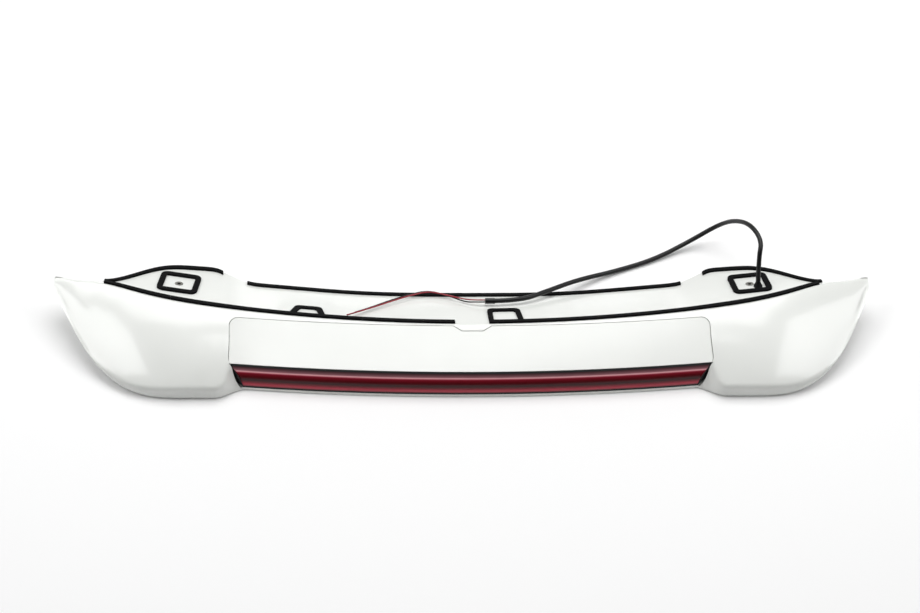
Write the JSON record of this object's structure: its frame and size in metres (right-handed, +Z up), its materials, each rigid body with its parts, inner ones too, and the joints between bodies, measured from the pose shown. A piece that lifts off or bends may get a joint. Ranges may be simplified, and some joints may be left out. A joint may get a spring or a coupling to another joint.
{
  "type": "car rear spoiler",
  "caption": "Painted rear spoiler lying upside down, with a red stop lamp in its trailing edge, foam tape on its mounting face, threaded fixing points and a loose lead.",
  "frame": {"origin": "centre of the spoiler's box on the floor it lies on, leaving out the loose lead", "axes": "+X along the span, +Y from the trailing edge with the lamp to the front edge, +Z up out of the mounting side"},
  "size_m": [1.185, 0.2963, 0.1053],
  "materials": {
    "white_paint": "gloss",
    "red_lens": "gloss",
    "black_plastic": "satin",
    "black_foam": "matte",
    "black_rubber": "satin",
    "red_wire": "satin",
    "plated_steel": "plated",
    "green_board": "satin",
    "bright_leaf": "bright",
    "led_body": "matte"
  },
  "bodies": {
    "root": {"spoiler_body": "white_paint", "lamp_panel": "white_paint", "panel_clips": "black_plastic", "lamp_lens": "red_lens", "lamp_housing": "black_plastic", "lamp_screws": "plated_steel", "lamp_board": "green_board", "lamp_leds": "led_body", "lamp_reflector": "bright_leaf", "insert_left": "plated_steel", "insert_right": "plated_steel", "foam_left_corner": "black_foam", "foam_near_left": "black_foam", "foam_near_right": "black_foam", "foam_front_centre": "black_foam", "foam_front_right": "black_foam", "foam_ring_left": "black_foam", "foam_ring_right": "black_foam", "foam_half_ring_left": "black_foam", "foam_half_ring_right": "black_foam", "cable_grommet": "black_rubber", "cable_sheath": "black_rubber", "sheath_end_tape": "black_plastic", "wire_red": "red_wire", "wire_black": "black_rubber", "lamp_lead": "black_rubber"}
  },
  "joints": []
}
